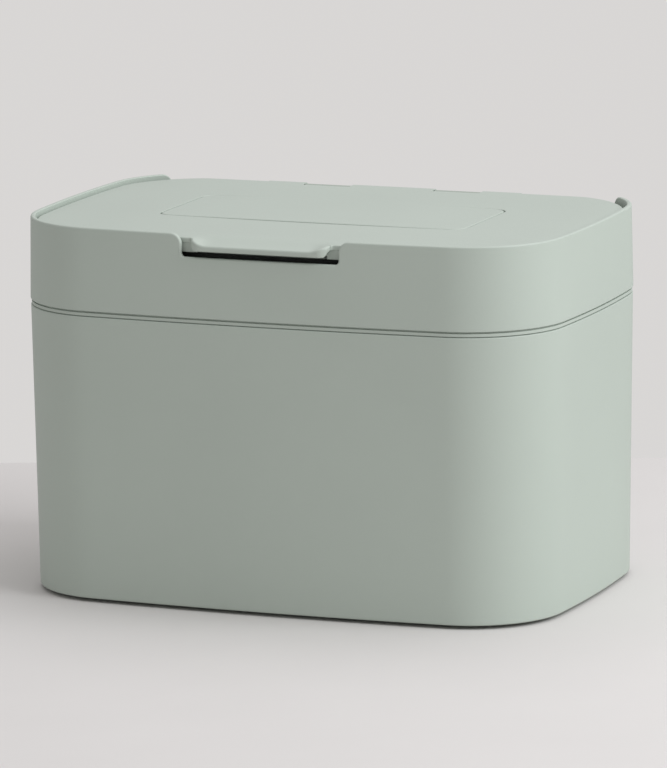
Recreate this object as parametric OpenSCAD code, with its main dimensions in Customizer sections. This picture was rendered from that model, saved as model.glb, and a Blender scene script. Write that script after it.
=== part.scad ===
// Bread bin: a tapered body, a seam ring, an upper collar, and a hinged lid
// that is set down inside the collar and carries a vent under a lift-out cover.
// Millimetres, +Z up, front towards -Y, origin under the middle of the bin at
// the level of the surface that it stands on.

/* [Body] */
// Width at the top of the body
body_w = 360; // [320:1:400]
// Depth at the top of the body
body_d = 245.6; // [235:0.2:280]
// Radius of the four upright corners
corner_r = 62; // [55:1:70]
// How far each face bows outwards in plan
bow = 8.2; // [6:0.1:10]
// Height of the body wall, from its underside to its shoulder
body_h = 180.9; // [150:0.1:220]
// How far the wall leans in at the foot
draft = 2.6; // [1:0.1:4]
// Wall thickness of the body
wall = 2.8; // [2.4:0.1:3.2]
// Gap under the body, held open by the feet
foot_h = 2.4; // [2:0.1:5]

/* [Collar] */
// Height of the collar
collar_h = 52.8; // [48:0.1:70]
// Seam between the body and the collar
seam_h = 3.6; // [3:0.1:5]
// How far the collar leans in at its rim
collar_draft = 0.9; // [0.5:0.1:1.5]
// Width of the finger notch in the front of the collar
notch_w = 105; // [90:1:120]
// Depth of the finger notch below the rim
notch_h = 14.6; // [13:0.1:16]

/* [Lid] */
// Drop from the rim to the edge of the lid
lid_drop = 2.9; // [2:0.1:4]
// Rise of the lid from its edge to its flat middle
crown = 0.4; // [0.2:0.1:1]
// Clear gap between the lid and the collar
lid_gap = 1.3; // [0.8:0.1:2]
// Width of the finger tab
tab_w = 93; // [80:1:100]
// How far the tab stands proud of the collar
tab_proud = 2; // [0:0.5:4]
// Width and depth of the recess for the vent cover
cover_size = [207.8, 91]; // [80:0.1:210]

/* [Hinge] */
// Radius of the hinge pins
pin_r = 1.5; // [1.2:0.1:2]
// Radius of the hinge barrels
barrel_r = 4.4; // [4:0.1:5]
// Width of each hinge block
block_w = 31; // [26:1:34]
// Distance of each hinge block from the centre line
block_x = 45; // [42:1:50]

/* [Hidden] */
$fn = 64;
eps = 0.01;

// Levels
body_z0 = foot_h;
body_z1 = body_z0 + body_h;
collar_z0 = body_z1 + seam_h;
rim_z = collar_z0 + collar_h;
lid_z = rim_z - lid_drop;
floor_t = 3;
floor_z = body_z0 + floor_t;
ledge_t = 3;
ledge_z = rim_z - 18;
plate_t = 3.4;
plate_z = lid_z - plate_t;
seal_t = 2.4;
seal_z = ledge_z + 0.3;
rib_z = seal_z + seal_t - 0.8;
liner_t = 1.8;
liner_z = rib_z + 2.4;
recess_z = lid_z + crown - 2.4;
skirt_z = ledge_z + 2.3;
tab_low = lid_z - 7.4;
tab_t = 4.6;
cover_t = 1.6;
cover_rise = 0.3;
cover_z = lid_z + crown + cover_rise - cover_t;

// Plan shapes, [half width, half depth, corner radius, bow]
BODY = [body_w / 2, body_d / 2, corner_r, bow];
mouth_side = 14;
mouth_front = 20;
mouth_back = 28.8;
mouth_y = (mouth_front - mouth_back) / 2;
MOUTH = [
    body_w / 2 - mouth_side, (body_d - mouth_front - mouth_back) / 2, corner_r - 16, bow
];

// Collar wall
collar_out = 0.26;
collar_wall = 3;
rim_in = collar_draft - collar_out + collar_wall;
lid_in = rim_in + lid_gap;
neck_out = 3.3;
neck_in = 5.3;
neck_h = 11;
ledge_in = 2;
bite = 1;

// Hinge line, just inside the back edge of the lid
lid_back = body_d / 2 - 14.1;
lug_back = lid_back + 2.3;
lid_corner_r = corner_r + 2;
hinge_y = lug_back - barrel_r;
hinge_z = lid_z - barrel_r + 0.4;
lug_gap = 0.6;
lug_mid = block_x - block_w / 2 - lug_gap;
lug_in = block_x + block_w / 2 + lug_gap;
lug_out = 87.7;
pin_x = [22, 80];
pin_clear = 0.05;
flange_t = 2.5;
flange_y = body_d / 2 - 4.8;
screw_y = flange_y - 3.2;
screw_dx = 8;
stop_x = 102;
stop_w = 14;
stop_y = hinge_y + 5;
stop_z = hinge_z + 2.2;
pad_t = 1.4;
back_wall_z = rim_z - 11;
back_cut_w = body_w - 49.4;

// Vent
window = [150, 50];
filter_t = 3;
cover_y = 1.3;
cover_gap = 1;
cover_bow = 2.8;
cover_r = 9.6;

// Feet
foot_at = [130, 74];
foot_r = 11;
peg_r = 4;

// Rack
rack_t = 3;
rack_leg = 8;
rack_in = 20;
slot_w = 8;
slot_pitch = 14;

green = [0.62, 0.67, 0.61];
dark_green = [0.54, 0.59, 0.53];
grey = [0.35, 0.36, 0.35];

// ---- Plan outline: four faces as shallow arcs, four tangent corner arcs ----

function arc(c, r, a0, a1, n) =
    [for (i = [0:n - 1]) c + r * [cos(a0 + (a1 - a0) * i / n), sin(a0 + (a1 - a0) * i / n)]];

// Radius of a face that is 2h wide and bows out by s
function face_r(h, s) = (h * h + s * s) / (2 * s);

// Centre of the front right corner arc, tangent inside both faces
function corner(p) =
    let (
        r1 = face_r(p[0], p[3]),
        r2 = face_r(p[1], p[3]),
        c1 = [0, r1 - p[1]],
        c2 = [p[0] - r2, 0],
        l = norm(c2 - c1),
        u = (c2 - c1) / l,
        a = r1 - p[2],
        b = r2 - p[2],
        t = (a * a - b * b + l * l) / (2 * l),
        h = sqrt(a * a - t * t)
    )
    c1 + t * u + h * [-u[1], u[0]];

// Outline of plan shape p, drawn parallel to it and d further in
function outline(p, d = 0) =
    let (
        r1 = face_r(p[0], p[3]),
        r2 = face_r(p[1], p[3]),
        fy = r1 - p[1],
        sx = p[0] - r2,
        c = corner(p),
        w = atan(c[0] / (fy - c[1])),
        v = atan(-c[1] / (c[0] - sx)),
        r = p[2] - d,
        nf = 12,
        ns = 8,
        nc = 12
    )
    concat(
        arc([0, fy], r1 - d, -90 - w, -90 + w, nf),
        arc(c, r, -90 + w, -v, nc),
        arc([sx, 0], r2 - d, -v, v, ns),
        arc([c[0], -c[1]], r, v, 90 - w, nc),
        arc([0, -fy], r1 - d, 90 - w, 90 + w, nf),
        arc([-c[0], -c[1]], r, 90 + w, 180 - v, nc),
        arc([-sx, 0], r2 - d, 180 - v, 180 + v, ns),
        arc([-c[0], c[1]], r, 180 + v, 270 - w, nc)
    );

// ---- Solids swept round a plan shape ----

// Carries a section, a list of [inset, z] that runs up the outside, in, and
// down the inside, round plan shape p: as a loop, or closed by a flat cap
// over its first and its last ring.
module swept(p, section, loop = true) {
    rings = [for (s = section) [for (q = outline(p, s[0])) [q[0], q[1], s[1]]]];
    n = len(rings[0]);
    m = len(section);
    last = loop ? m - 1 : m - 2;
    sides = [
        for (k = [0:last]) for (i = [0:n - 1])
            let (j = (i + 1) % n, u = (k + 1) % m)
            [k * n + i, u * n + i, u * n + j, k * n + j]
    ];
    caps = loop ? [] : [
        [for (i = [0:n - 1]) i],
        [for (i = [n - 1:-1:0]) (m - 1) * n + i]
    ];
    polyhedron([for (ring = rings) each ring], concat(sides, caps), convexity = 6);
}

// Flat plate of plan shape p, or a band of it when hole is given
module slab(p, z, t, d, hole = undef) {
    translate([0, 0, z])
        linear_extrude(t)
            difference() {
                polygon(outline(p, d));
                if (!is_undef(hole)) polygon(outline(p, hole));
            }
}

module at_mouth() {
    translate([0, mouth_y, 0]) children();
}

module rounded(size, r) {
    x = size[0] / 2 - r;
    y = size[1] / 2 - r;
    for (sx = [-1, 1]) for (sy = [-1, 1]) translate([sx * x, sy * y]) circle(r);
    square([size[0], size[1] - 2 * r], center = true);
    square([size[0] - 2 * r, size[1]], center = true);
}

module both_sides() {
    children();
    mirror([1, 0, 0]) children();
}

// Cut-out in a rim: w wide at its floor z, open at the top, with its upper
// corners rounded over by top_r and its lower corners by low_r
module rim_cut(w, z, top_r, low_r, y0, y1) {
    half = concat(
        arc([w / 2 - low_r, z + low_r], low_r, -90, 0, 6),
        [[w / 2, z + low_r]],
        arc([w / 2 + top_r, rim_z - top_r], top_r, 180, 90, 10),
        [[w / 2 + top_r, rim_z], [w / 2 + top_r, rim_z + 5]]
    );
    other = [for (i = [len(half) - 1:-1:0]) [-half[i][0], half[i][1]]];
    translate([0, y1, 0])
        rotate([90, 0, 0])
            linear_extrude(y1 - y0)
                polygon(concat(half, other));
}

// Barrel round the hinge line, from x0 to x1
module barrel(r, x0, x1) {
    translate([x0, hinge_y, hinge_z])
        rotate([0, 90, 0])
            cylinder(r = r, h = x1 - x0);
}

// ---- Body ----

body_section = [
    [draft + 1.2, body_z0],
    [draft + 0.35, body_z0 + 0.35],
    [draft, body_z0 + 1.2],
    [0, body_z1 - 0.8],
    [0.8, body_z1],
    [neck_out, body_z1],
    [neck_out, body_z1 + 7],
    [neck_out - 0.2, body_z1 + 8],
    [neck_out, body_z1 + 9],
    [neck_out + 0.5, body_z1 + neck_h],
    [neck_in, body_z1 + neck_h],
    [neck_in, body_z1 - 4],
    [wall + 0.2, body_z1 - 12],
    [draft + wall, floor_z + 6],
    [draft + wall + 1.8, floor_z + 1.8],
    [draft + wall + 6, floor_z]
];

module bin_body() {
    color(green)
        difference() {
            swept(BODY, body_section, loop = false);
            at_feet() translate([0, 0, body_z0 - 1]) cylinder(r = peg_r, h = floor_t + 2);
        }
}

// Soft ring that fills the seam: its flange shows as the thin band
module seam_ring() {
    color(dark_green)
        swept(BODY, [
            [1.8, body_z1], [1.8, body_z1 + 0.5], [0.7, body_z1 + 0.5],
            [0.45, body_z1 + 0.8], [0.45, body_z1 + 2.2], [0.7, body_z1 + 2.5],
            [1.8, body_z1 + 2.5], [1.8, collar_z0], [neck_out, collar_z0],
            [neck_out, body_z1]
        ]);
}

// ---- Collar ----

collar_section = [
    [-collar_out + 0.5, collar_z0],
    [-collar_out, collar_z0 + 0.5],
    [rim_in - collar_wall, rim_z - 1.2],
    [rim_in - collar_wall + 0.35, rim_z - 0.35],
    [rim_in - collar_wall + 1.2, rim_z],
    [rim_in - 0.8, rim_z],
    [rim_in, rim_z - 0.8],
    [neck_out - 0.25, ledge_z - ledge_t - 2],
    [neck_out - 0.25, body_z1 + 9.5],
    [neck_out - 0.45, body_z1 + 8],
    [neck_out - 0.25, body_z1 + 6.5],
    [neck_out - 0.25, collar_z0]
];

// Shelf inside the collar that the lid shuts on, with a lip round the mouth
module ledge() {
    lip_t = 2;
    lip_h = 6;
    translate([0, 0, ledge_z - ledge_t])
        linear_extrude(ledge_t)
            difference() {
                polygon(outline(BODY, ledge_in));
                at_mouth() polygon(outline(MOUTH, 0));
            }
    at_mouth() slab(MOUTH, ledge_z - lip_h, lip_h, -lip_t, 0);
}

// Bosses under the shelf that take the hinge screws
module screw_posts(r, z0, z1) {
    both_sides()
        for (s = [-1, 1])
            translate([block_x + s * screw_dx, screw_y, z0])
                cylinder(r = r, h = z1 - z0);
}

// Post behind the lid that holds it at its open angle
module stop_post() {
    y0 = stop_y + pad_t;
    translate([stop_x - stop_w / 2, y0, ledge_z - bite])
        cube([stop_w, flange_y - y0, stop_z - ledge_z + bite]);
}

module collar() {
    color(green)
        difference() {
            union() {
                difference() {
                    swept(BODY, collar_section);
                    rim_cut(notch_w, rim_z - notch_h, 7, 2.5, -body_d, -body_d / 4);
                    rim_cut(back_cut_w, back_wall_z, 8, 2, body_d / 2 - 30, body_d);
                }
                ledge();
                screw_posts(3.4, ledge_z - 10, ledge_z - bite);
                both_sides() stop_post();
            }
            screw_posts(1.25, ledge_z - 9, ledge_z + 1);
        }
}

// ---- Lid ----

dome_section = [
    [lid_in, plate_z],
    [lid_in, lid_z - 1],
    [lid_in + 0.3, lid_z - 0.3],
    [lid_in + 1, lid_z],
    for (k = [1:4]) [lid_in + 1 + 3 * k, lid_z + crown * (1 - pow(1 - k / 4, 2))]
];

// Finger tab in plan: a lip with rounded ends that flares into the lid
module tab_plan() {
    tip = body_d / 2 + collar_out + tab_proud;
    root = body_d / 2 - lid_in - 6;
    depth = tip - root;
    flare = 3;
    translate([0, -root - depth / 2]) rounded([tab_w, depth], 6);
    translate([0, -root - 2]) square([tab_w, 10], center = true);
    translate([0, -root - 4]) square([tab_w + 2 * flare, 4], center = true);
}

// Outline of the lid, d further in: it follows the collar at the front and
// sides, and draws in round the back corners to leave room for its swing
module lid_plan(d = 0) {
    long = 2 * body_d;
    side = body_w / 2 - lid_in - d;
    r = lid_corner_r - d;
    swing_y = lid_back + 3.3 - d;
    intersection() {
        polygon(outline(BODY, lid_in + d));
        translate([0, lid_back - d - long / 2]) square([body_w, long], center = true);
        translate([0, swing_y - long / 2]) rounded([2 * side, long], r);
    }
}

// Domed top plate
module lid_plate() {
    intersection() {
        swept(BODY, dome_section, loop = false);
        translate([0, 0, plate_z - 1]) linear_extrude(20) lid_plan();
    }
}

// Skirt under the edge of the lid, open behind the tab and at the hinges
module lid_skirt() {
    t = 2;
    window_w = 84;
    translate([0, 0, skirt_z])
        linear_extrude(plate_z + 0.5 - skirt_z)
            difference() {
                lid_plan();
                lid_plan(t);
                translate([0, lid_back]) square([body_w, 26], center = true);
                translate([0, -body_d / 2]) square([window_w, 40], center = true);
            }
    translate([0, 0, tab_low])
        linear_extrude(plate_z + 0.5 - tab_low)
            intersection() {
                difference() {
                    lid_plan();
                    lid_plan(t);
                }
                translate([0, -body_d / 2]) square([window_w + 1, 40], center = true);
            }
}

module lid_lugs() {
    spans = [[-lug_mid, lug_mid], [lug_in, lug_out], [-lug_out, -lug_in]];
    for (s = spans) {
        barrel(barrel_r, s[0], s[1]);
        translate([s[0], hinge_y - barrel_r - 2, hinge_z])
            cube([s[1] - s[0], lug_back - hinge_y + barrel_r + 2, lid_z + 0.3 - hinge_z]);
    }
}

module lid() {
    rib_t = 2.2;
    color(green)
        difference() {
            union() {
                difference() {
                    lid_plate();
                    both_sides()
                        translate([block_x - block_w / 2 - lug_gap, hinge_y - barrel_r - 0.8, 0])
                            cube([block_w + 2 * lug_gap, 40, rim_z + 10]);
                }
                lid_lugs();
                lid_skirt();
                at_mouth() slab(MOUTH, rib_z, plate_z + 0.5 - rib_z, -2 - rib_t, -2);
                translate([0, 0, tab_low]) linear_extrude(tab_t) tab_plan();
                liner_posts(3, liner_z + liner_t, plate_z + eps);
            }
            translate([0, cover_y, recess_z]) linear_extrude(20) polygon(recess());
            translate([0, cover_y, 0]) linear_extrude(rim_z) rounded(window, 4);
            both_sides() barrel(pin_r, pin_x[0], lug_out + 1);
            liner_posts(1, liner_z, plate_z - 0.5);
        }
}

liner_at = [140, 76];

module liner_posts(r, z0, z1) {
    for (sx = [-1, 1]) for (sy = [-1, 1])
        translate([sx * liner_at[0], cover_y + sy * liner_at[1], z0])
            cylinder(r = r, h = z1 - z0);
}

// Inner panel that closes the underside of the lid, slotted under the vent
module lid_liner() {
    color(dark_green)
        difference() {
            at_mouth() slab(MOUTH, liner_z, liner_t, -1.7);
            for (i = [-7:7])
                translate([i * 9, cover_y, liner_z - 1])
                    linear_extrude(liner_t + 2)
                        rounded([4, window[1] - 6], 1.9);
            liner_posts(1.3, liner_z - 1, liner_z + liner_t + 1);
        }
}

module liner_screws() {
    head_h = 1.2;
    color("silver") {
        liner_posts(2.6, liner_z - head_h, liner_z);
        liner_posts(1, liner_z - eps, plate_z - 0.6);
    }
}

// Soft channel pushed on to the rib under the lid
module lid_seal() {
    color(grey)
        at_mouth()
            difference() {
                slab(MOUTH, seal_z, seal_t + 1.4, -5, -1.2);
                slab(MOUTH, rib_z, 10, -4.2, -2);
            }
}

// ---- Vent in the lid ----

// Outline of the recess, d further in: its front and back edges bow outwards
function recess(d = 0) =
    let (
        x = cover_size[0] / 2 - cover_r,
        r = face_r(x, cover_bow),
        fy = r - cover_size[1] / 2,
        w = asin(x / (r - cover_r)),
        y = (r - cover_r) * cos(w) - fy,
        c = cover_r - d
    )
    concat(
        arc([0, fy], r - d, -90 - w, -90 + w, 8),
        arc([x, -y], c, -90 + w, 0, 6),
        arc([x, y], c, 0, 90 - w, 6),
        arc([0, -fy], r - d, 90 - w, 90 + w, 8),
        arc([-x, y], c, 90 + w, 180, 6),
        arc([-x, -y], c, 180, 270 - w, 6)
    );

// Cover that drops into the recess, on low rails that leave an air gap
module vent_cover() {
    rail_w = 2;
    rail_l = cover_size[1] - 32;
    rail_x = cover_size[0] / 2 - 15;
    rest = 0.05;
    color(green)
        translate([0, cover_y, 0]) {
            translate([0, 0, cover_z]) linear_extrude(cover_t) polygon(recess(cover_gap));
            for (s = [-1, 1])
                translate([s * rail_x - rail_w / 2, -rail_l / 2, recess_z + rest])
                    cube([rail_w, rail_l, cover_z - recess_z - rest + 0.2]);
        }
}

module filter_frame() {
    lip = 3;
    t = 1.2;
    z = plate_z - filter_t - t;
    color(grey)
        translate([0, cover_y, z])
            difference() {
                union() {
                    linear_extrude(filter_t + t)
                        difference() {
                            rounded([window[0] + 2 * lip + 2, window[1] + 2 * lip + 2], 5);
                            rounded([window[0] + 2, window[1] + 2], 4);
                        }
                    linear_extrude(t) rounded([window[0] + 4, window[1] + 4], 4);
                }
                for (x = [-60:20:60])
                    translate([x, 0, -1])
                        linear_extrude(t + 2)
                            rounded([15, window[1] - 4], 3);
            }
}

module vent_filter() {
    color([0.2, 0.2, 0.2])
        translate([0, cover_y, plate_z - filter_t])
            linear_extrude(filter_t)
                rounded(window, 3);
}

// ---- Hinge ----

module hinge_block() {
    x0 = block_x - block_w / 2;
    foot_y = hinge_y - 3.2;
    color(dark_green)
        difference() {
            union() {
                barrel(barrel_r - 0.2, x0, x0 + block_w);
                translate([x0, foot_y, ledge_z]) cube([block_w, 6.5, hinge_z - ledge_z]);
                translate([x0, foot_y, ledge_z]) cube([block_w, flange_y - foot_y, flange_t]);
            }
            barrel(pin_r + pin_clear, x0 - 1, x0 + block_w + 1);
            screw_posts(1.7, ledge_z - 1, ledge_z + flange_t + 1);
        }
}

module hinge_block_right() {
    hinge_block();
}

module hinge_block_left() {
    mirror([1, 0, 0]) hinge_block();
}

module hinge_pin() {
    color("silver") barrel(pin_r, pin_x[0], pin_x[1]);
}

module hinge_pin_right() {
    hinge_pin();
}

module hinge_pin_left() {
    mirror([1, 0, 0]) hinge_pin();
}

module hinge_screws() {
    head_h = 1.6;
    top = ledge_z + flange_t;
    color("silver") {
        screw_posts(2.7, top, top + head_h);
        screw_posts(1.25, ledge_z - 8, top + eps);
    }
}

// Rubber faces on the two stop posts
module lid_stop_pads() {
    color(grey)
        both_sides()
            translate([stop_x - stop_w / 2 + 1, stop_y, stop_z - 6])
                cube([stop_w - 2, pad_t, 6]);
}

// ---- Feet and rack ----

module at_feet() {
    for (sx = [-1, 1]) for (sy = [-1, 1])
        translate([sx * foot_at[0], sy * foot_at[1], 0]) children();
}

// Rubber foot: pad, peg through the floor, and a head that holds it in
module foot(sx, sy) {
    head_r = peg_r + 1.4;
    color(grey)
        translate([sx * foot_at[0], sy * foot_at[1], 0])
            rotate_extrude()
                polygon([
                    [0, 0], [foot_r - 0.8, 0], [foot_r, 0.8], [foot_r, foot_h],
                    [peg_r, foot_h], [peg_r, floor_z], [head_r, floor_z],
                    [head_r - 0.8, floor_z + 1.6], [0, floor_z + 1.6]
                ]);
}

module foot_front_left() {
    foot(-1, -1);
}

module foot_front_right() {
    foot(1, -1);
}

module foot_back_left() {
    foot(-1, 1);
}

module foot_back_right() {
    foot(1, 1);
}

// Slatted rack that holds the loaf clear of its crumbs
module bread_rack() {
    plate_at = floor_z + rack_leg;
    slot_l = body_d - 2 * (rack_in + 16);
    slots = floor((body_w / 2 - rack_in - 24) / slot_pitch);
    leg_at = [[-140, -45], [-140, 45], [0, -86], [0, 86], [140, -45], [140, 45]];
    color([0.75, 0.78, 0.74]) {
        difference() {
            slab(BODY, plate_at, rack_t, rack_in);
            for (i = [-slots:slots])
                translate([i * slot_pitch, 0, plate_at - 1])
                    linear_extrude(rack_t + 2)
                        rounded([slot_w, slot_l], slot_w / 2 - eps);
        }
        for (p = leg_at)
            translate([p[0], p[1], floor_z + 0.2])
                cylinder(r = 3, h = rack_leg - 0.2 + eps);
    }
}

bin_body();
seam_ring();
collar();
lid();
lid_liner();
liner_screws();
lid_seal();
vent_cover();
vent_filter();
filter_frame();
hinge_block_left();
hinge_block_right();
hinge_pin_left();
hinge_pin_right();
hinge_screws();
lid_stop_pads();
bread_rack();
foot_front_left();
foot_front_right();
foot_back_left();
foot_back_right();
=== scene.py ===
"""Bread bin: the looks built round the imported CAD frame.

Lengths are in millimetres until mesh_piece() turns them into metres. +Z is up and the front
of the bin faces -Y.
"""

import math

import bmesh
import bpy
import numpy as np
from mathutils import Matrix, Vector
from mathutils.geometry import delaunay_2d_cdt


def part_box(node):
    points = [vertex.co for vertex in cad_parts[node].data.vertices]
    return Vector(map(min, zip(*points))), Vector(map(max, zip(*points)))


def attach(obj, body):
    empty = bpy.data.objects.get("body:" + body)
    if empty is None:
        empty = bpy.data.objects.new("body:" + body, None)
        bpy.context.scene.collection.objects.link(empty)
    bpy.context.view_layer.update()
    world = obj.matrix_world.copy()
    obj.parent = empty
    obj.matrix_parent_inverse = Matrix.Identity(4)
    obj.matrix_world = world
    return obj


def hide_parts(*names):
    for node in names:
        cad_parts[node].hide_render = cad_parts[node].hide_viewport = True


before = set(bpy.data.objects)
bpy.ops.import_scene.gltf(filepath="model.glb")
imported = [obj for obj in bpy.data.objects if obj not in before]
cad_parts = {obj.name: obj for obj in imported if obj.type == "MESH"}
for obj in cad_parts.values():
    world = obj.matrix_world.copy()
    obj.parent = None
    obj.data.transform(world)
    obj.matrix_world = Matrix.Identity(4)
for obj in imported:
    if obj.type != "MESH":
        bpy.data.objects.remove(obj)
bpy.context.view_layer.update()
MM = 0.001


def ends(node):
    """Lowest and highest corner of a CAD node, in millimetres."""
    low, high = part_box(node)
    return np.array(low) / MM, np.array(high) / MM


# ---- Sizes, from the frame ----

BODY_LOW, BODY_HIGH = ends("bin_body")
RING_LOW, RING_HIGH = ends("seam_ring")
COLLAR_LOW, COLLAR_HIGH = ends("collar")
LID_LOW, LID_HIGH = ends("lid")
COVER_LOW, COVER_HIGH = ends("vent_cover")
SEAL_LOW = ends("lid_seal")[0]
BLOCK_LOW, BLOCK_HIGH = ends("hinge_block_right")
PADS_HIGH = ends("lid_stop_pads")[1]
POST_LOW, POST_HIGH = ends("liner_screws")

CORNER_R = 62.0
BOW = 8.2
DRAFT = 2.6
WALL = 2.8
FOOT_GAP = BODY_LOW[2]
FLOOR_TOP = FOOT_GAP + 3.0
SHOULDER = RING_LOW[2]
COLLAR_FOOT = COLLAR_LOW[2]
RIM = COLLAR_HIGH[2]
RIM_OUT = 0.64
COLLAR_OUT = -0.26
RIM_IN = 3.64
NECK_OUT = 3.3
NECK_IN = 5.3
LEDGE_TOP = RIM - 18.0
LEDGE_T = 3.0

LID_CROWN = 0.4
CROWN_RUN = 12.0
LID_EDGE = LID_HIGH[2] - LID_CROWN
LID_IN = RIM_IN + 1.3
PLATE_LOW = LID_EDGE - 3.4
RECESS_FLOOR = COVER_LOW[2] - 0.05
RECESS = (207.8, 91.0, 9.6, 2.8)
WINDOW = (150.0, 50.0, 4.0)
COVER_Y = (COVER_LOW[1] + COVER_HIGH[1]) / 2

TAB_TIP = LID_LOW[1]
TAB_HALF = 46.5
TAB_LOW = LID_EDGE - 7.4
TAB_DROP = 3.5
NOTCH_HALF = 52.5
NOTCH_FLOOR = RIM - 14.6
BACK_HALF = 155.3
BACK_FLOOR = RIM - 11.0

HINGE_Y = 106.6
HINGE_Z = LID_EDGE - 4.0
BARREL_R = 4.4
LID_BACK = BODY_HIGH[1] - 14.1
HINGE_GAP = (BLOCK_LOW[0] - 0.6, BLOCK_HIGH[0] + 0.6)
LUG_END = 87.7


# ---- Plan outlines ----


class Plan:
    """Four shallow face arcs joined by four tangent corner arcs, centred on (0, y0)."""

    def __init__(self, half_w, half_d, corner_r, bow, y0=0.0):
        self.r_front = (half_w**2 + bow**2) / (2 * bow)
        self.r_side = (half_d**2 + bow**2) / (2 * bow)
        self.front_y = half_d - self.r_front
        self.side_x = half_w - self.r_side
        self.corner_r = corner_r
        self.y0 = y0
        near = self.r_front - corner_r
        far = self.r_side - corner_r
        span = math.hypot(self.side_x, self.front_y)
        along = (near**2 - far**2 + span**2) / (2 * span)
        off = math.sqrt(near**2 - along**2)
        ux, uy = self.side_x / span, -self.front_y / span
        self.cx = along * ux + off * uy
        self.cy = self.front_y + along * uy - off * ux
        if self.cy < 0:
            self.cx = along * ux - off * uy
            self.cy = self.front_y + along * uy + off * ux
        face = math.atan2(self.cx, self.cy - self.front_y)
        side = math.atan2(self.cy, self.cx - self.side_x)
        quarter = math.pi / 2
        self.arcs = []
        for centre, radius, start, end in (
            ((0, self.front_y), self.r_front, quarter, quarter + face),
            ((-self.cx, self.cy), corner_r, quarter + face, 2 * quarter - side),
            ((-self.side_x, 0), self.r_side, 2 * quarter - side, 2 * quarter + side),
            ((-self.cx, -self.cy), corner_r, 2 * quarter + side, 3 * quarter - face),
            ((0, -self.front_y), self.r_front, 3 * quarter - face, 3 * quarter + face),
            ((self.cx, -self.cy), corner_r, 3 * quarter + face, 4 * quarter - side),
            ((self.side_x, 0), self.r_side, -side, side),
            ((self.cx, self.cy), corner_r, side, quarter - face),
            ((0, self.front_y), self.r_front, quarter - face, quarter),
        ):
            self.arcs.append((centre, radius, start, end))
        lengths = [radius * (end - start) for _, radius, start, end in self.arcs]
        self.marks = np.concatenate([[0], np.cumsum(lengths)])
        self.length = self.marks[-1]

    def at(self, u, inset):
        """Points at distance u along the outline from the middle of the back, drawn inset in."""
        u = np.mod(np.asarray(u, float), self.length)
        inset = np.broadcast_to(np.asarray(inset, float), u.shape)
        k = np.clip(np.searchsorted(self.marks, u, side="right") - 1, 0, len(self.arcs) - 1)
        centre = np.array([a[0] for a in self.arcs])[k]
        radius = np.array([a[1] for a in self.arcs])[k]
        start = np.array([a[2] for a in self.arcs])[k]
        angle = start + (u - self.marks[k]) / radius
        reach = radius - inset
        x = centre[:, 0] + reach * np.cos(angle)
        y = centre[:, 1] + reach * np.sin(angle) + self.y0
        return np.stack([x, y], 1)

    def stations(self, step=4.0, corner_step=2.4):
        """Distances along the outline, closer together round the corners."""
        found = []
        for k, (_, radius, _, _) in enumerate(self.arcs):
            span = self.marks[k + 1] - self.marks[k]
            pace = corner_step if radius < 100 else step
            count = max(int(math.ceil(span / pace)), 1)
            found.append(self.marks[k] + span * np.arange(count) / count)
        return np.concatenate(found)

    def inset_of(self, x, y):
        """How far inside the outline each point lies."""
        px, py = np.abs(x), np.abs(y - self.y0)
        front = self.r_front - np.hypot(px, py - self.front_y)
        side = self.r_side - np.hypot(px - self.side_x, py)
        dx, dy = px - self.cx, py - self.cy
        turn = np.arctan2(dy, dx)
        low, high = self.arcs[7][2], self.arcs[7][3]
        in_corner = (dx > 0) & (dy > 0) & (turn > low) & (turn < high)
        return np.where(in_corner, self.corner_r - np.hypot(dx, dy), np.minimum(front, side))


SHELL = Plan(BODY_HIGH[0], BODY_HIGH[1], CORNER_R, BOW)
MOUTH = Plan(166.0, 98.4, 46.0, BOW, y0=-4.4)


def with_z(points, z):
    return np.column_stack([points, np.broadcast_to(z, len(points))])


def rect_ring(size, y0, z, inset=0.0, steps=(40, 18, 8)):
    """Rounded rectangle of (width, depth, corner radius, bow of the long faces) as a ring."""
    width, depth, r = size[:3]
    bow = max(size[3] if len(size) > 3 else 0.0, 0.001)
    long_n, short_n, corner_n = steps
    x = width / 2 - r
    face_r = (x * x + bow * bow) / (2 * bow)
    face_y = face_r - depth / 2
    turn = math.degrees(math.asin(x / (face_r - r)))
    y = (face_r - r) * math.cos(math.radians(turn)) - face_y
    points = []

    def arc(cx, cy, radius, start, end, count, first=0):
        for k in range(first, count):
            a = math.radians(start + (end - start) * k / (count if first else count - 1))
            points.append((cx + radius * math.cos(a), cy + radius * math.sin(a)))

    def side(sx, start_y, end_y):
        for k in range(1, short_n):
            points.append((sx * (width / 2 - inset), start_y + (end_y - start_y) * k / short_n))

    arc(x, y, r - inset, 0, 90 - turn, corner_n + 1)
    arc(0, -face_y, face_r - inset, 90 - turn, 90 + turn, long_n, 1)
    arc(-x, y, r - inset, 90 + turn, 180, corner_n + 1)
    side(-1, y, -y)
    arc(-x, -y, r - inset, 180, 270 - turn, corner_n + 1)
    arc(0, face_y, face_r - inset, 270 - turn, 270 + turn, long_n, 1)
    arc(x, -y, r - inset, 270 + turn, 360, corner_n + 1)
    side(1, -y, y)
    return with_z(np.array(points) + np.array([0, y0]), z)


def disc_ring(x, y, r, z, count=32):
    a = np.linspace(0, 2 * math.pi, count, endpoint=False)
    return with_z(np.stack([x + r * np.cos(a), y + r * np.sin(a)], 1), z)


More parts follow.
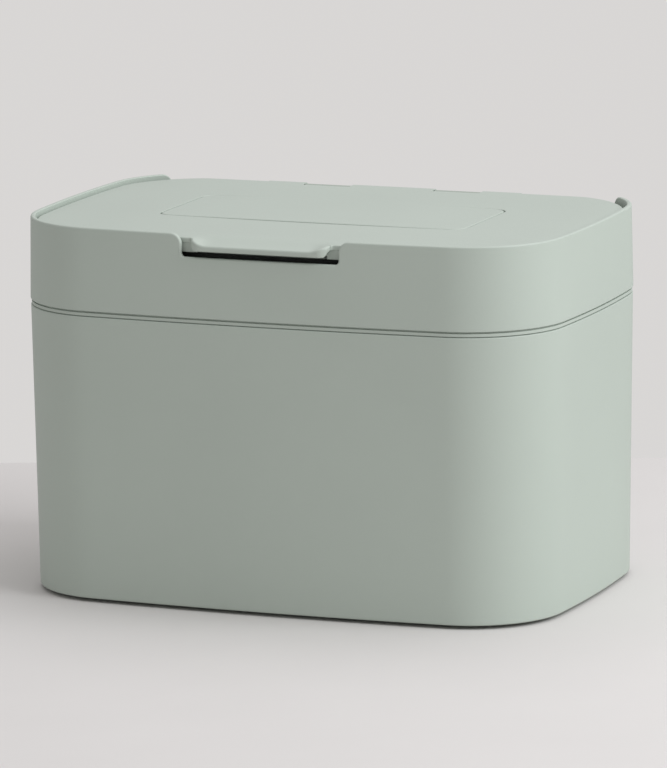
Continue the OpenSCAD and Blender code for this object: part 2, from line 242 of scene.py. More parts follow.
def rounded_path(points, radii, step=2.5, arc_step=12.0):
    """Polyline through points whose inner corners are rounded by radii, closely spaced."""
    points = [np.array(p, float) for p in points]
    path = [points[0]]

    def run_to(end):
        start = path[-1]
        count = max(int(math.ceil(np.linalg.norm(end - start) / step)), 1)
        for k in range(1, count + 1):
            path.append(start + (end - start) * k / count)

    for before, corner, after, r in zip(points, points[1:], points[2:], radii):
        come = (corner - before) / np.linalg.norm(corner - before)
        go = (after - corner) / np.linalg.norm(after - corner)
        turn = math.atan2(come[0] * go[1] - come[1] * go[0], come @ go)
        reach = r * math.tan(abs(turn) / 2)
        run_to(corner - come * reach)
        side = np.array([-come[1], come[0]]) * math.copysign(1, turn)
        centre = path[-1] + side * r
        arm = path[-1] - centre
        count = max(int(math.ceil(abs(math.degrees(turn)) / arc_step)), 2)
        for k in range(1, count + 1):
            a = turn * k / count
            c, s = math.cos(a), math.sin(a)
            path.append(centre + np.array([arm[0] * c - arm[1] * s, arm[0] * s + arm[1] * c]))
    run_to(points[-1])
    return np.array(path)


def right_normals(path, closed):
    """Unit normals on the right-hand side of a path."""
    if closed:
        ahead, behind = np.roll(path, -1, 0), np.roll(path, 1, 0)
    else:
        ahead = np.vstack([path[1:], 2 * path[-1] - path[-2]])
        behind = np.vstack([2 * path[0] - path[1], path[:-1]])
    first = path - behind
    second = ahead - path
    first /= np.linalg.norm(first, axis=1)[:, None]
    second /= np.linalg.norm(second, axis=1)[:, None]
    along = first + second
    along /= np.linalg.norm(along, axis=1)[:, None]
    return np.stack([along[:, 1], -along[:, 0]], 1)


def fillet(r, steps=5):
    """(how far in, how far down) pairs of a quarter round, from flat top to upright side."""
    turns = [math.pi / 2 * k / steps for k in range(steps + 1)]
    return [(r * (1 - math.sin(t)), r * (1 - math.cos(t))) for t in turns]


def smooth(t):
    t = np.clip(t, 0, 1)
    return t * t * (3 - 2 * t)


# ---- Meshes ----


def quads(rows, loop=False, open_columns=False, caps=()):
    """(points, faces) of rows of points joined by quads. caps names the end rows to close."""
    n = len(rows[0])
    last = len(rows) if loop else len(rows) - 1
    columns = n - 1 if open_columns else n
    faces = []
    for k in range(last):
        a, b = k * n, ((k + 1) % len(rows)) * n
        for i in range(columns):
            j = (i + 1) % n
            faces.append((a + i, a + j, b + j, b + i))
    if "first" in caps:
        faces.append(tuple(range(n)))
    if "last" in caps:
        faces.append(tuple(range((len(rows) - 1) * n, len(rows) * n)))
    return np.vstack(rows), faces


def inside(points, loop):
    """Which points lie inside a closed loop."""
    x, y = points[:, 0][:, None], points[:, 1][:, None]
    x0, y0 = loop[:, 0][None], loop[:, 1][None]
    x1, y1 = np.roll(loop[:, 0], -1)[None], np.roll(loop[:, 1], -1)[None]
    rise = np.where(y1 == y0, 1e-12, y1 - y0)
    hit = ((y0 > y) != (y1 > y)) & (x < x0 + (y - y0) * (x1 - x0) / rise)
    return hit.sum(1) % 2 == 1


def filled(outer, hole, height, pitch=4.0):
    """Surface between two loops, over a grid of inner points, at height(x, y)."""
    low, high = outer.min(0), outer.max(0)
    gx, gy = np.meshgrid(
        np.arange(low[0] + pitch / 2, high[0], pitch), np.arange(low[1] + pitch / 2, high[1], pitch)
    )
    spots = np.stack([gx.ravel(), gy.ravel()], 1)
    spots = spots[inside(spots, outer) & ~inside(spots, hole)]
    edge = np.vstack([outer, hole])
    keep = [np.min(np.hypot(*(edge - p).T)) > pitch * 0.55 for p in spots]
    spots = spots[np.array(keep)]
    n, m = len(outer), len(hole)
    edges = [(i, (i + 1) % n) for i in range(n)]
    edges += [(n + i, n + (i + 1) % m) for i in range(m)]
    points = [Vector(p) for p in np.vstack([edge, spots])]
    verts, _, tris, *_ = delaunay_2d_cdt(points, edges, [], 0, 1e-6)
    flat = np.array([tuple(v) for v in verts])
    middles = np.array([flat[list(t)].mean(0) for t in tris])
    wanted = inside(middles, outer) & ~inside(middles, hole)
    tris = [tuple(t) for t, w in zip(tris, wanted) if w]
    return with_z(flat, height(flat[:, 0], flat[:, 1])), tris


def mesh_piece(name, parts, material, body, stands_for=()):
    """One object from (points, faces) parts, which are welded where they share points."""
    points, faces, base = [], [], 0
    for part_points, part_faces in parts:
        points.append(part_points)
        faces += [tuple(i + base for i in f) for f in part_faces]
        base += len(part_points)
    mesh = bpy.data.meshes.new(name)
    mesh.from_pydata((np.vstack(points) * MM).tolist(), [], faces)
    bm = bmesh.new()
    bm.from_mesh(mesh)
    bmesh.ops.remove_doubles(bm, verts=bm.verts, dist=2e-6)
    bmesh.ops.dissolve_degenerate(bm, edges=bm.edges, dist=1e-6)
    bmesh.ops.recalc_face_normals(bm, faces=bm.faces)
    bm.to_mesh(mesh)
    bm.free()
    for polygon in mesh.polygons:
        polygon.use_smooth = True
    mesh.set_sharp_from_angle(angle=math.radians(38))
    mesh.materials.append(material)
    piece = bpy.data.objects.new(name, mesh)
    bpy.context.scene.collection.objects.link(piece)
    weigh = piece.modifiers.new("weighted_normals", "WEIGHTED_NORMAL")
    weigh.keep_sharp = True
    weigh.weight = 80
    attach(piece, body)
    if stands_for:
        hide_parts(*stands_for)
    return piece


def swept(plan, section, loop, **caps):
    """Rings of a plan outline at each (inset, z) of a section."""
    u = plan.stations()
    return quads([with_z(plan.at(u, d), z) for d, z in section], loop=loop, **caps)


def block(size, x, y, low, high, r=0.5, corner_steps=(4, 4, 4)):
    """Upright block with rounded corners and rounded top and bottom edges."""
    rings = []
    for turn_in, drop in fillet(r, 3):
        rings.append(rect_ring(size, y, high - drop, turn_in, corner_steps))
    for turn_in, drop in reversed(fillet(r, 3)):
        rings.append(rect_ring(size, y, low + drop, turn_in, corner_steps))
    points, faces = quads(rings, caps=("first", "last"))
    return points + np.array([x, 0, 0]), faces


def post(x, y, r, low, high, edge=0.4):
    """Upright round post with rounded ends."""
    rings = [disc_ring(x, y, r - turn_in, high - drop) for turn_in, drop in fillet(edge, 3)]
    rings += [
        disc_ring(x, y, r - turn_in, low + drop) for turn_in, drop in reversed(fillet(edge, 3))
    ]
    return quads(rings, caps=("first", "last"))


# ---- Materials ----


def add(nodes, kind, **settings):
    node = nodes.new(kind)
    for key, value in settings.items():
        setattr(node, key, value)
    return node


def noise(nodes, links, where, scale, detail=2.0, roughness=0.5):
    node = add(nodes, "ShaderNodeTexNoise")
    node.inputs["Scale"].default_value = scale
    node.inputs["Detail"].default_value = detail
    node.inputs["Roughness"].default_value = roughness
    links.new(where, node.inputs["Vector"])
    return node.outputs["Fac"]


def spread(nodes, links, value, low, high, start=0.3, end=0.7):
    node = add(nodes, "ShaderNodeMapRange")
    node.inputs["From Min"].default_value = start
    node.inputs["From Max"].default_value = end
    node.inputs["To Min"].default_value = low
    node.inputs["To Max"].default_value = high
    links.new(value, node.inputs["Value"])
    return node.outputs["Result"]


def tinted(nodes, links, value, dark, light):
    node = add(nodes, "ShaderNodeMix", data_type="RGBA")
    node.inputs["A"].default_value = (*dark, 1)
    node.inputs["B"].default_value = (*light, 1)
    links.new(value, node.inputs["Factor"])
    return node.outputs["Result"]


def bumped(nodes, links, height, strength, distance, under=None):
    node = add(nodes, "ShaderNodeBump")
    node.inputs["Strength"].default_value = strength
    node.inputs["Distance"].default_value = distance
    links.new(height, node.inputs["Height"])
    if under is not None:
        links.new(under, node.inputs["Normal"])
    return node.outputs["Normal"]


def surface(name, colour, vary, rough, grain, specular=0.5, metallic=0.0, mottle=9.0):
    """Finish with a soft tone drift, a fine grain in the surface and an uneven roughness.

    rough is (lowest, highest); grain is (scale, bump strength, bump depth in metres).
    """
    material = bpy.data.materials.new(name)
    material.use_nodes = True
    nodes, links = material.node_tree.nodes, material.node_tree.links
    shader = nodes["Principled BSDF"]
    where = add(nodes, "ShaderNodeTexCoord").outputs["Object"]
    drift = noise(nodes, links, where, mottle, 3.0)
    speck = noise(nodes, links, where, grain[0] * 0.7, 1.0)
    fine = noise(nodes, links, where, grain[0], 2.0)
    wave = noise(nodes, links, where, 60.0, 1.0)
    mixed = add(nodes, "ShaderNodeMath", operation="MULTIPLY_ADD")
    links.new(speck, mixed.inputs[0])
    mixed.inputs[1].default_value = 0.35
    links.new(drift, mixed.inputs[2])
    tone = spread(nodes, links, mixed.outputs[0], 0.0, 1.0, 0.45, 0.9)
    dark = tuple(c * (1 - vary) for c in colour)
    light = tuple(min(c * (1 + vary), 1.0) for c in colour)
    links.new(tinted(nodes, links, tone, dark, light), shader.inputs["Base Color"])
    links.new(spread(nodes, links, speck, rough[0], rough[1]), shader.inputs["Roughness"])
    soft = bumped(nodes, links, wave, 0.02, 0.0004)
    links.new(bumped(nodes, links, fine, grain[1], grain[2], soft), shader.inputs["Normal"])
    shader.inputs["Metallic"].default_value = metallic
    shader.inputs["Specular IOR Level"].default_value = specular
    return material


SAGE = (0.456, 0.513, 0.462)
SAGE_DEEP = (0.355, 0.405, 0.355)
SAGE_PALE = (0.56, 0.60, 0.555)

shell_plastic = surface("shell_plastic", SAGE, 0.018, (0.46, 0.56), (1400, 0.12, 0.00006), 0.45)
seam_plastic = surface("seam_plastic", SAGE, 0.015, (0.55, 0.65), (1400, 0.10, 0.00005), 0.35)
inner_plastic = surface("inner_plastic", SAGE_DEEP, 0.02, (0.40, 0.50), (1100, 0.10, 0.00005))
rack_plastic = surface("rack_plastic", SAGE_PALE, 0.02, (0.38, 0.48), (1100, 0.10, 0.00005))
carbon_felt = surface(
    "carbon_felt", (0.022, 0.022, 0.023), 0.35, (0.85, 0.98), (1700, 0.9, 0.0006), 0.1
)
dark_rubber = surface(
    "dark_rubber", (0.060, 0.063, 0.060), 0.12, (0.62, 0.78), (900, 0.25, 0.0001), 0.3
)
plain_steel = surface(
    "plain_steel", (0.56, 0.56, 0.55), 0.06, (0.22, 0.36), (2400, 0.08, 0.00002), 0.5, 1.0
)


# ---- Body and seam ring ----


def bin_body():
    """Tapered shell with a rounded foot, a shoulder, and the neck that takes the collar."""
    foot_r, top_r, floor_r = 1.2, 0.8, 6.0
    wall_low, wall_high = FOOT_GAP + foot_r, SHOULDER - top_r

    def lean(z):
        return DRAFT * (wall_high - z) / (wall_high - wall_low)

    section = [(DRAFT + 9.0, FOOT_GAP), (DRAFT + foot_r + 0.3, FOOT_GAP)]
    section += [
        (DRAFT + turn_in, FOOT_GAP + drop) for turn_in, drop in fillet(foot_r)
    ]
    section += [(lean(z), z) for z in np.linspace(wall_low, wall_high, 9)[1:-1]]
    section += [(turn_in, SHOULDER - drop) for turn_in, drop in reversed(fillet(top_r))]
    section += [
        (NECK_OUT - 0.2, SHOULDER),
        (NECK_OUT, SHOULDER + 0.2),
        (NECK_OUT, SHOULDER + 6.8),
        (NECK_OUT - 0.14, SHOULDER + 7.3),
        (NECK_OUT - 0.2, SHOULDER + 8.0),
        (NECK_OUT - 0.14, SHOULDER + 8.7),
        (NECK_OUT, SHOULDER + 9.2),
        (NECK_OUT + 0.4, SHOULDER + 10.8),
        (NECK_OUT + 0.7, SHOULDER + 11.0),
        (NECK_IN - 0.5, SHOULDER + 11.0),
        (NECK_IN, SHOULDER + 10.5),
        (NECK_IN, SHOULDER - 4.0),
        (NECK_IN - 0.5, SHOULDER - 6.5),
        (WALL + 0.7, SHOULDER - 11.0),
        (WALL + 0.25, SHOULDER - 14.0),
    ]
    inner_low = FLOOR_TOP + floor_r
    for z in np.linspace(SHOULDER - 20, inner_low, 8):
        section.append((WALL + lean(z), z))
    foot_in = WALL + lean(inner_low)
    for k in range(1, 8):
        t = math.pi / 2 * k / 7
        section.append((foot_in + floor_r * (1 - math.cos(t)), inner_low - floor_r * math.sin(t)))
    section.append((foot_in + floor_r + 2.0, FLOOR_TOP))
    shell = swept(SHELL, section, False, caps=("first", "last"))
    mesh_piece("bin_shell", [shell], shell_plastic, "bin", ["bin_body"])


def seam_ring():
    """Ring in the seam, whose flange shows as the thin band between two shadow lines."""
    flange_low, flange_high = SHOULDER + 0.5, SHOULDER + 2.5
    core, face, r = 1.8, 0.45, 0.3
    section = [(NECK_OUT, SHOULDER), (core, SHOULDER), (core, flange_low)]
    section += [(face + turn_in, flange_low + drop) for turn_in, drop in fillet(r, 3)]
    section += [(face + turn_in, flange_high - drop) for turn_in, drop in reversed(fillet(r, 3))]
    section += [(core, flange_high), (core, RING_HIGH[2]), (NECK_OUT, RING_HIGH[2])]
    ring = swept(SHELL, section, True)
    mesh_piece("seam_band", [ring], seam_plastic, "bin", ["seam_ring"])


# ---- Collar ----


def across(plan, x, front):
    """Distance along the outline to where it crosses x, on its front or its back."""
    u = np.linspace(0, plan.length / 2, 4001)
    points = plan.at(u, 0)
    half = points[:, 1] < 0 if front else points[:, 1] > 0
    return float(u[half][np.argmin(np.abs(points[half, 0] + x))])


def collar_wall():
    """Wall of the collar, unrolled as distance along the outline against height.

    Its top edge is one path over the rim, down into the finger notch and the low back.
    """
    back = across(SHELL, BACK_HALF, front=False)
    notch = across(SHELL, NOTCH_HALF, front=True)
    whole = SHELL.length
    corners = [
        (0, BACK_FLOOR),
        (back, BACK_FLOOR),
        (back, RIM),
        (notch, RIM),
        (notch, NOTCH_FLOOR),
        (whole - notch, NOTCH_FLOOR),
        (whole - notch, RIM),
        (whole - back, RIM),
        (whole - back, BACK_FLOOR),
        (whole, BACK_FLOOR),
    ]
    path = rounded_path(corners, (2.5, 8, 7, 2.5, 2.5, 7, 8, 2.5), step=3.0, arc_step=9.0)[:-1]
    down = right_normals(np.vstack([path, [whole, BACK_FLOOR]]), closed=False)[:-1]

    # the foot of each column, eased so that columns fan out past the upright edges
    steps = np.linalg.norm(np.diff(path, axis=0), axis=1)
    run = np.concatenate([[0], np.cumsum(steps)])
    ease = 14.0
    fine = np.linspace(-3 * ease, run[-1] + 3 + 3 * ease, 6000)
    u_fine = np.interp(fine, run, path[:, 0])
    u_fine = np.where(fine < 0, fine, u_fine)
    u_fine = np.where(fine > run[-1], path[-1, 0] + fine - run[-1], u_fine)
    total = np.concatenate([[0], np.cumsum((u_fine[1:] + u_fine[:-1]) / 2 * np.diff(fine))])
    foot = (np.interp(run + ease, fine, total) - np.interp(run - ease, fine, total)) / (2 * ease)

    foot_r, rim_r, inner_r = 0.5, 1.2, 0.8
    wall_low = COLLAR_FOOT + foot_r

    def outer(z):
        share = (z - wall_low) / (RIM - rim_r - wall_low)
        return COLLAR_OUT + (RIM_OUT - COLLAR_OUT) * np.clip(share, 0, 1)

    def inner(z):
        low = LEDGE_TOP - LEDGE_T - 2
        share = np.clip((z - low) / (RIM - inner_r - low), 0, 1)
        return NECK_OUT - 0.25 + (RIM_IN - NECK_OUT + 0.25) * share

    def row(u, z, inset):
        return with_z(SHELL.at(u, inset), z)

    rows = []
    for turn_in, drop in fillet(foot_r, 3):
        rows.append(row(foot, COLLAR_FOOT + drop, COLLAR_OUT + turn_in))
    under = path + down * rim_r
    for share in np.linspace(0, 1, 12)[1:]:
        u = foot + (under[:, 0] - foot) * share
        z = wall_low + (under[:, 1] - wall_low) * share
        rows.append(row(u, z, outer(z)))
    for turn_in, drop in reversed(fillet(rim_r, 6)[:-1]):
        edge = path + down * drop
        rows.append(row(edge[:, 0], edge[:, 1], outer(edge[:, 1]) + turn_in))
    for turn_in, drop in fillet(inner_r, 4):
        edge = path + down * drop
        rows.append(row(edge[:, 0], edge[:, 1], inner(edge[:, 1]) - turn_in))
    low = COLLAR_FOOT
    under = path + down * inner_r
    for share in np.linspace(0, 1, 10)[1:]:
        u = under[:, 0] + (foot - under[:, 0]) * share
        z = under[:, 1] + (low - under[:, 1]) * share
        rows.append(row(u, z, inner(z)))
    return quads(rows, loop=True)


def ledge():
    """Shelf round the inside of the collar, with a lip round the mouth."""
    count = 420
    share = np.linspace(0, 1, count, endpoint=False)
    out = SHELL.at(share * SHELL.length, 2.4)
    low, lip_low, lip_t, r = LEDGE_TOP - LEDGE_T, LEDGE_TOP - 6.0, 2.0, 0.7

    def mouth(inset, z):
        return with_z(MOUTH.at(share * MOUTH.length, inset), z)

    rows = [with_z(out, low), with_z(out, LEDGE_TOP)]
    rows += [mouth(-turn_in, LEDGE_TOP - drop) for turn_in, drop in fillet(r, 4)]
    rows += [mouth(0, lip_low + 0.5), mouth(-0.5, lip_low), mouth(-lip_t + 0.5, lip_low)]
    rows += [mouth(-lip_t, lip_low + 0.5), mouth(-lip_t, low - 0.6), mouth(-lip_t - 0.6, low)]
    return quads(rows, loop=True)


def collar():
    """Collar wall, shelf, screw bosses and the two posts that stop the open lid."""
    parts = [collar_wall(), ledge()]
    flange_y, bite = BODY_HIGH[1] - 4.8, 1.0
    hinge_x = (BLOCK_LOW[0] + BLOCK_HIGH[0]) / 2
    screw_dx, screw_y, boss_r, boss_h = 8.0, flange_y - 3.2, 3.4, 10.0
    stop_w, pad_half = 14.0, 6.0
    front = PADS_HIGH[1]
    low = LEDGE_TOP - bite
    for sx in (-1, 1):
        for dx in (-screw_dx, screw_dx):
            parts.append(post(sx * hinge_x + dx, screw_y, boss_r, LEDGE_TOP - boss_h, low))
        size = (stop_w, flange_y - front, 1.5)
        x = sx * (PADS_HIGH[0] - pad_half)
        parts.append(block(size, x, (flange_y + front) / 2, low, PADS_HIGH[2], 1.0))
    mesh_piece("collar_frame", parts, shell_plastic, "bin", ["collar"])


# ---- Lid ----


def lid_edge(half_only_base=False):
    """Right-handed loop round the lid, from the middle of its back over the left side."""
    corner_r = CORNER_R + 2
    swing_y = LID_BACK + 3.3
    centre = np.array([-(BODY_HIGH[0] - LID_IN - corner_r), swing_y - corner_r])
    u = SHELL.stations(2.2, 1.6)
    base = SHELL.at(u[u <= SHELL.length / 2], LID_IN)
    arm = base - centre
    reach = np.hypot(*arm.T)
    past = (arm[:, 0] < 0) & (arm[:, 1] > 0) & (reach > corner_r)
    base[past] = centre + arm[past] / reach[past, None] * corner_r
    side = base[(base[:, 1] < LID_BACK) & (base[:, 0] < -120)]
    turn_x = centre[0] - math.sqrt(corner_r**2 - (LID_BACK - centre[1]) ** 2)
    front = base[(base[:, 1] < 0) & (base[:, 0] >= -120)]
    if half_only_base:
        back = rounded_path([(0, LID_BACK), (turn_x, LID_BACK)], ())
        half = np.vstack([back, side, front, [0, front[-1][1]]])
    else:
        inner, outer = HINGE_GAP
        gap_y = HINGE_Y - BARREL_R - 0.8
        back = rounded_path(
            [
                (0, LID_BACK),
                (-inner, LID_BACK),
                (-inner, gap_y),
                (-outer, gap_y),
                (-outer, LID_BACK),
                (turn_x, LID_BACK),
            ],
            (1.2, 1.0, 1.0, 1.2),
            arc_step=15.0,
        )
        front = front[front[:, 0] < -TAB_HALF - 6]
        edge_y = front[-1][1]
        tab = rounded_path(
            [front[-1], (-TAB_HALF, edge_y - 0.12), (-TAB_HALF, TAB_TIP), (0, TAB_TIP)],
            (1.8, 7.5),
            step=2.0,
            arc_step=8.0,
        )[1:]
        half = np.vstack([back, side, front, tab])
    other = half[1:-1][::-1] * np.array([-1, 1])
    return np.vstack([half, other])


def tab_share(x, y, fade, start, end):
    """1 in the tab and 0 in the rest of the lid, with a smooth change between."""
    across_tab = 1 - smooth((np.abs(x) - fade[0]) / (fade[1] - fade[0]))
    return across_tab * smooth((start - y) / (start - end))


def lid_top(x, y):
    """Height of the lid's crowned top, which dips into the finger tab."""
    d = SHELL.inset_of(x, y)
    t = np.clip((d - LID_IN - 1) / CROWN_RUN, 0, 1)
    crown = LID_EDGE + LID_CROWN * (1 - (1 - t) ** 2)
    return crown - TAB_DROP * tab_share(x, y, (34, 48), -110.0, TAB_TIP + 2.0)


def lid_under(x, y):
    share = tab_share(x, y, (43, 46), -115.5, -117.5)
    return PLATE_LOW - (PLATE_LOW - TAB_LOW) * share


def lid_plate():
    """Top plate with its tab, as one closed skin with a recess and a window."""
    loop = lid_edge()
    out = right_normals(loop, closed=True)
    x, y = loop.T
    in_tab = tab_share(x, y, (44, 50), -117.6, -119.5)
    round_top = np.where(y > 96, 0.5, 1.0 + 0.6 * in_tab)
    round_low = np.where(y > 96, 0.4, 0.6 + 0.2 * in_tab)

    def edge(turn_in):
        return loop - out * turn_in[:, None]

    rows = []
    shoulder = edge(round_top)
    top = lid_top(*shoulder.T)
    for turn_in, drop in fillet(1.0, 6):
        rows.append(with_z(edge(round_top * turn_in), top - round_top * drop))
    low_edge = edge(round_low)
    low = lid_under(*low_edge.T)
    for share in (0.35, 0.7):
        rows.append(with_z(loop, (top - round_top) * (1 - share) + (low + round_low) * share))
    for turn_in, drop in reversed(fillet(1.0, 4)):
        rows.append(with_z(edge(round_low * turn_in), low + round_low * drop))
    parts = [quads(rows)]

    lip, floor_r = 0.5, 0.6
    rim_ring = rect_ring(RECESS, COVER_Y, 0, -lip)[:, :2]
    rim_z = lid_top(*rim_ring.T)
    rows = [with_z(rim_ring, rim_z)]
    for turn_in, drop in fillet(lip, 4)[1:]:
        ring = rect_ring(RECESS, COVER_Y, 0, -turn_in)[:, :2]
        rows.append(with_z(ring, rim_z - drop))
    for turn_in, drop in reversed(fillet(floor_r, 3)):
        rows.append(rect_ring(RECESS, COVER_Y, RECESS_FLOOR + drop, turn_in))
    rows.append(rect_ring(RECESS, COVER_Y, RECESS_FLOOR, 1.6))
    for turn_in, drop in fillet(0.3, 2):
        rows.append(rect_ring(WINDOW, COVER_Y, RECESS_FLOOR - drop, -turn_in))
    window_low = rect_ring(WINDOW, COVER_Y, PLATE_LOW)
    rows.append(window_low)
    parts.append(quads(rows))
    parts.append(filled(shoulder, rim_ring, lid_top))
    parts.append(filled(low_edge, window_low[:, :2], lid_under, pitch=7.0))
    return parts


def bar(path, section):
    """Upright bar along an open path. section is (inset, z) pairs round the bar."""
    normals = right_normals(path, closed=False)
    rows = [with_z(path - normals * d, z) for d, z in section]
    points, faces = quads(rows, loop=True, open_columns=True)
    n, m = len(path), len(section)
    faces.append(tuple(k * n for k in range(m)))
    faces.append(tuple(k * n + n - 1 for k in range(m)))
    return points, faces


def lid_skirt():
    """Skirt under the lid's edge: open along the hinges, and short behind the notch."""
    loop = lid_edge(half_only_base=True)
    x, y = loop.T
    set_in, t, window_half, notch_half = 0.45, 2.0, 42.0, 56.0
    skirt_low, skirt_top, notch_gap = LEDGE_TOP + 2.3, PLATE_LOW + 0.4, 2.4

    def section(low):
        r = 0.5
        rounds = [(set_in + a, low + b) for a, b in fillet(r, 3)]
        back = [(set_in + t - a, low + b) for a, b in reversed(fillet(r, 3))]
        return [(set_in, skirt_top), *reversed(rounds), *reversed(back), (set_in + t, skirt_top)]

    parts = []
    shown = (y < LID_BACK - 13) & ((y > 0) | (np.abs(x) > notch_half))
    left, right = loop[shown & (x < 0)], loop[shown & (x > 0)]
    in_notch = (y < 0) & (np.abs(x) > window_half) & (np.abs(x) < notch_half + 2)
    for end in (loop[in_notch & (x < 0)], loop[in_notch & (x > 0)]):
        parts.append(bar(end, section(NOTCH_FLOOR + notch_gap)))
    middle = loop[(np.abs(x) <= window_half + 2) & (y < 0)]
    parts.append(bar(left, section(skirt_low)))
    parts.append(bar(right, section(skirt_low)))
    parts.append(bar(middle, section(TAB_LOW + 0.2)))
    return parts


def lug(x0, x1):
    """Hinge lug: a barrel round the pin line under a flat top that ends in a rounded edge."""
    turns = np.radians(np.linspace(0, -180, 20))
    centre = np.array([HINGE_Y, HINGE_Z])
    barrel = centre + BARREL_R * np.stack([np.cos(turns), np.sin(turns)], 1)
    front, back, top = HINGE_Y - BARREL_R - 2, HINGE_Y + BARREL_R, LID_EDGE + 0.45
    profile = [(front, LID_EDGE - 0.3), (HINGE_Y - BARREL_R, top - 0.12), (HINGE_Y, top)]
    profile += [(back - turn_in, top - drop) for turn_in, drop in fillet(1.1, 6)]
    profile += [tuple(p) for p in barrel]
    profile += [(HINGE_Y - BARREL_R, PLATE_LOW + 0.3), (front, PLATE_LOW + 0.3)]
    profile = np.array(profile)
    rows = []
    for x, shrink in (
        (x0, 0.35), (x0 + 0.1, 0.1), (x0 + 0.35, 0), (x1 - 0.35, 0), (x1 - 0.1, 0.1), (x1, 0.35)
    ):
        drawn = centre + (profile - centre) * (1 - shrink / BARREL_R)
        rows.append(np.column_stack([np.full(len(drawn), x), drawn]))
    return quads(rows, caps=("first", "last"))


def rib():
    """Rib under the lid that carries the seal."""
    low, top = SEAL_LOW[2] + 1.6, PLATE_LOW + 0.4
    section = [(-2.0, top), (-2.0, low + 0.4), (-2.4, low)]
    section += [(-3.8, low), (-4.2, low + 0.4), (-4.2, top)]
    return swept(MOUTH, section, True)


def lid():
    inner, outer = HINGE_GAP
    parts = lid_plate() + lid_skirt() + [rib()]
    parts += [lug(-inner, inner), lug(outer, LUG_END), lug(-LUG_END, -outer)]
    for x in (POST_LOW[0] + 2.6, POST_HIGH[0] - 2.6):
        for y in (POST_LOW[1] + 2.6, POST_HIGH[1] - 2.6):
            parts.append(post(x, y, 3.0, POST_LOW[2] + 3.0, PLATE_LOW + 0.4))
    mesh_piece("lid_shell", parts, shell_plastic, "lid", ["lid"])


def vent_cover():
    """Cover in the lid's recess, a touch higher in its middle, on two rails."""
    gap, rise = 1.0, 0.45
    size = (RECESS[0] - 2 * gap, RECESS[1] - 2 * gap, RECESS[2] - gap, RECESS[3])
    low, top = COVER_LOW[2] + 1.05, LID_EDGE + LID_CROWN
    half = size[0] / 2

    def crowned(ring, drop=0.0):
        share = np.clip(np.abs(ring[:, 0]) / half, 0, 1)
        return with_z(ring[:, :2], top + rise * (1 - share**2) - drop)

    shoulder = rect_ring(size, COVER_Y, 0, 1.4)
    middle = np.array([0, COVER_Y, 0])
    rings = [crowned(middle + (shoulder - middle) * k) for k in (0.06, 0.25, 0.45, 0.65, 0.84)]
    rings.append(crowned(shoulder))
    rings += [
        crowned(rect_ring(size, COVER_Y, 0, turn_in), drop) for turn_in, drop in fillet(0.7, 5)
    ]
    rings += [
        rect_ring(size, COVER_Y, low + drop, turn_in) for turn_in, drop in reversed(fillet(0.4, 3))
    ]
    rings.append(rect_ring(size, COVER_Y, low, 1.4))
    parts = [quads(rings, caps=("first", "last"))]
    for side in (-1, 1):
        rail = (2.0, RECESS[1] - 32, 0.9)
        x = side * (RECESS[0] / 2 - 15)
        parts.append(block(rail, x, COVER_Y, COVER_LOW[2], low + 0.3, 0.25))
    mesh_piece("vent_cover_panel", parts, shell_plastic, "vent_cover", ["vent_cover"])


# ---- CAD pieces that stay, with rounded edges and their own finish ----


def finish_cad(node, material, width, angle=35):
    """Gives a CAD piece its finish and softens its edges."""
    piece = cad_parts[node]
    if not piece.material_slots:
        piece.data.materials.append(material)
    for place in piece.material_slots:
        place.material = material
    weld = piece.modifiers.new("weld", "WELD")
    weld.merge_threshold = 2e-6
    merged = piece.modifiers.new("merge_flat_faces", "DECIMATE")
    merged.decimate_type = "DISSOLVE"
    merged.angle_limit = math.radians(0.5)
    bevel = piece.modifiers.new("round_edges", "BEVEL")
    bevel.width = width * MM
    bevel.segments = 2
    bevel.limit_method = "ANGLE"
    bevel.angle_limit = math.radians(angle)
    piece.modifiers.new("flat_triangles", "TRIANGULATE").min_vertices = 5
    weigh = piece.modifiers.new("weighted_normals", "WEIGHTED_NORMAL")
    weigh.weight = 100
    return piece


def cad_pieces():
    finishes = {
        "lid_liner": (inner_plastic, 0.3),
        "filter_frame": (inner_plastic, 0.15),
        "hinge_block_left": (inner_plastic, 0.4),
        "hinge_block_right": (inner_plastic, 0.4),
        "bread_rack": (rack_plastic, 0.5),
        "vent_filter": (carbon_felt, 0.4),
        "lid_seal": (dark_rubber, 0.3),
        "lid_stop_pads": (dark_rubber, 0.3),
        "liner_screws": (plain_steel, 0.2),
        "hinge_screws": (plain_steel, 0.25),
        "hinge_pin_left": (plain_steel, 0.2),
        "hinge_pin_right": (plain_steel, 0.2),
    }
    for node, (material, width) in finishes.items():
        finish_cad(node, material, width)
    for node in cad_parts:
        if node.startswith("foot_"):
            finish_cad(node, dark_rubber, 0.3)


# ---- Stage ----


def plane(name, corners, material):
    mesh = bpy.data.meshes.new(name)
    mesh.from_pydata(corners, [], [tuple(range(len(corners)))])
    mesh.materials.append(material)
    piece = bpy.data.objects.new(name, mesh)
    bpy.context.scene.collection.objects.link(piece)
    return piece


def area_light(name, place, target, size, power, colour=(1, 1, 1)):
    data = bpy.data.lights.new(name, "AREA")
    data.shape = "RECTANGLE"
    data.size, data.size_y = size
    data.energy = power
    data.color = colour
    lamp = bpy.data.objects.new(name, data)
    lamp.location = place
    lamp.rotation_mode = "QUATERNION"
    lamp.rotation_quaternion = (Vector(target) - Vector(place)).to_track_quat("-Z", "Y")
    bpy.context.scene.collection.objects.link(lamp)


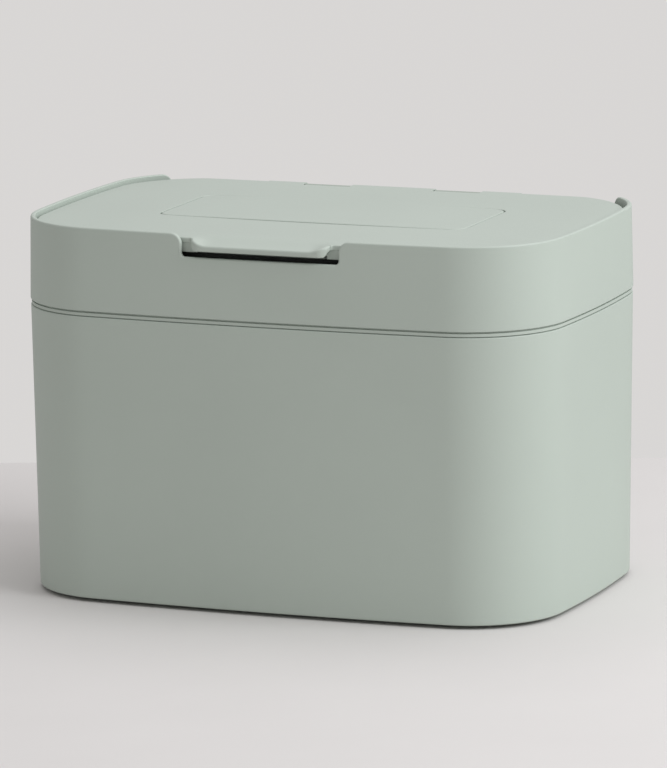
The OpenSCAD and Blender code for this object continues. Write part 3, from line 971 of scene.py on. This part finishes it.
def stage():
    """Pale floor whose far edge runs across the view, a pale surround, and soft light."""
    paint = surface("floor_paint", (0.68, 0.663, 0.651), 0.01, (0.7, 0.8), (300, 0.05, 0.0001), 0.2)
    plane("floor", [(-4, -6, 0), (4, -6, 0), (4, 1.93, 0), (-4, -1.10, 0)], paint)
    area_light("key", (2.0, -0.25, 1.5), (0, 0, 0.1), (1.6, 1.6), 38, (0.965, 0.985, 1.0))
    area_light("overhead", (0.2, 0.5, 2.4), (0, 0, 0.2), (2.4, 2.0), 20, (1.0, 0.955, 1.0))
    world = bpy.data.worlds.new("room")
    world.use_nodes = True
    nodes, links = world.node_tree.nodes, world.node_tree.links
    nodes.clear()
    seen = add(nodes, "ShaderNodeBackground")
    seen.inputs["Color"].default_value = (0.69, 0.675, 0.665, 1)
    lit = add(nodes, "ShaderNodeBackground")
    lit.inputs["Color"].default_value = (1.0, 0.99, 0.98, 1)
    lit.inputs["Strength"].default_value = 0.5
    rays = add(nodes, "ShaderNodeLightPath")
    mixed = add(nodes, "ShaderNodeMixShader")
    links.new(rays.outputs["Is Camera Ray"], mixed.inputs[0])
    links.new(lit.outputs[0], mixed.inputs[1])
    links.new(seen.outputs[0], mixed.inputs[2])
    links.new(mixed.outputs[0], add(nodes, "ShaderNodeOutputWorld").inputs[0])
    bpy.context.scene.world = world
    bpy.context.scene.view_settings.view_transform = "Standard"
    bpy.context.scene.view_settings.look = "None"


def camera():
    """Long lens, from the front and a little to the right, slightly above the rim."""
    turn, rise, roll = math.radians(21.85), math.radians(10.53), math.radians(-0.65)
    back = Vector(
        (math.sin(turn) * math.cos(rise), -math.cos(turn) * math.cos(rise), math.sin(rise))
    )
    right = Vector((math.cos(turn), math.sin(turn), 0))
    up = back.cross(right)
    middle = Vector((0, 0, 0.14982)) - right * 0.00017 - up * 0.02295
    flat_right, flat_up = right.copy(), up.copy()
    right = flat_right * math.cos(roll) + flat_up * math.sin(roll)
    up = flat_up * math.cos(roll) - flat_right * math.sin(roll)
    data = bpy.data.cameras.new("camera")
    data.lens = 304.6
    data.sensor_width = 36
    data.clip_start, data.clip_end = 0.1, 50
    eye = bpy.data.objects.new("camera", data)
    place = middle + back * 4.133
    eye.matrix_world = Matrix((
        (right[0], up[0], back[0], place[0]),
        (right[1], up[1], back[1], place[1]),
        (right[2], up[2], back[2], place[2]),
        (0, 0, 0, 1),
    ))
    bpy.context.scene.collection.objects.link(eye)
    bpy.context.scene.camera = eye


camera()
stage()
bin_body()
seam_ring()
collar()
lid()
vent_cover()
cad_pieces()
